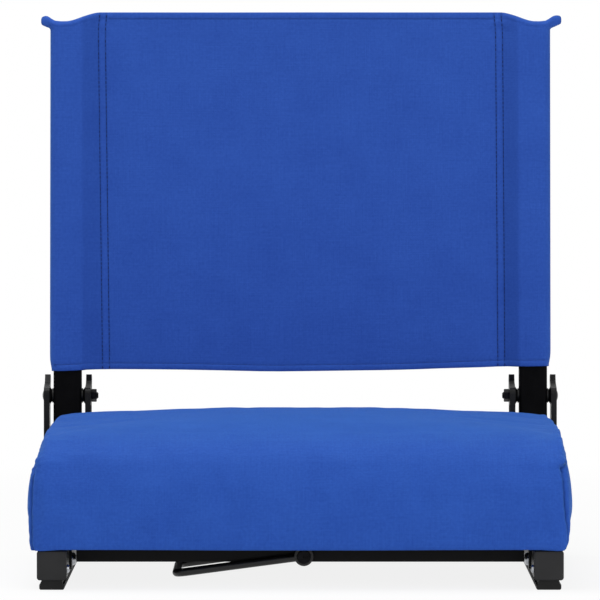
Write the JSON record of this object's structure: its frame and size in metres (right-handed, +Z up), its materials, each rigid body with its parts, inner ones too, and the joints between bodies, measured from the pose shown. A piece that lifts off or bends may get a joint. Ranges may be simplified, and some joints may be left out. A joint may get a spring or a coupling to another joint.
{
  "type": "stadium chair",
  "caption": "Folding stadium chair: boxed padded seat on a steel base, sleeve back on hinged uprights that fold forward, and a swinging bench hook.",
  "frame": {"origin": "middle of the chair's box in plan, on the floor under the rubber runners", "axes": "+X right as seen from the front, -Y the front where the sitter's legs go, +Z up"},
  "size_m": [0.464, 0.3871, 0.4883],
  "materials": {
    "blue_canvas": "tightly woven polyester canvas, royal blue, matt",
    "black_steel": "black powder coat, satin, on steel tube and sheet",
    "hinge_steel": "black powder coat, satin, on pressed steel plate",
    "black_fasteners": "black oxide steel fasteners",
    "zinc_fasteners": "zinc plated steel fasteners",
    "runner_rubber": "black moulded rubber",
    "plug_plastic": "dark grey moulded plastic",
    "bush_nylon": "black nylon",
    "seat_plywood": "birch plywood",
    "seat_foam": "open cell foam",
    "dust_cloth": "black non-woven cloth",
    "black_webbing": "black polypropylene webbing"
  },
  "bodies": {
    "base": {"side_rail_left": "black_steel", "side_rail_right": "black_steel", "front_crossbar": "black_steel", "rear_crossbar": "black_steel", "rail_end_plugs": "plug_plastic", "plug_screws": "zinc_fasteners", "runner_left": "runner_rubber", "runner_right": "runner_rubber", "runner_screws": "zinc_fasteners", "crossbar_bolts": "zinc_fasteners", "weld_nuts": "zinc_fasteners", "seat_board": "seat_plywood", "seat_foam": "seat_foam", "seat_cover": "blue_canvas", "dust_cover": "dust_cloth", "seat_bolts": "zinc_fasteners", "seat_washers": "zinc_fasteners", "tee_nuts": "zinc_fasteners", "hinge_plate_left_outer": "hinge_steel", "hinge_plate_left_inner": "hinge_steel", "hinge_plate_right_inner": "hinge_steel", "hinge_plate_right_outer": "hinge_steel", "pivot_bolts": "black_fasteners", "pivot_nuts": "black_fasteners", "rail_bolts": "black_fasteners", "rail_nuts": "black_fasteners", "spacer_washers": "black_fasteners", "stop_bolts": "black_fasteners", "stop_nuts": "black_fasteners", "stop_sleeves": "zinc_fasteners", "hook_bolt": "black_fasteners", "hook_washers": "black_fasteners", "hook_nut": "black_fasteners", "carry_strap": "black_webbing", "strap_plates": "black_fasteners", "strap_bolts": "zinc_fasteners", "strap_nuts": "zinc_fasteners"},
    "backrest": {"upright_left": "black_steel", "upright_right": "black_steel", "upright_plugs": "bush_nylon", "pivot_bushes": "bush_nylon", "back_cover": "blue_canvas"},
    "hook": {"bleacher_hook": "black_steel"}
  },
  "joints": [
    {"name": "back_fold", "type": "hinge", "parent": "base", "child": "backrest", "pos_m": [0, 0.1575, 0.1454], "axis": [1, 0, 0], "range_deg": [0, 94]},
    {"name": "hook_swing", "type": "hinge", "parent": "base", "child": "hook", "pos_m": [0.003, -0.1318, 0.024], "axis": [0, -1, 0], "range_deg": [-2.5, 82.5]}
  ]
}
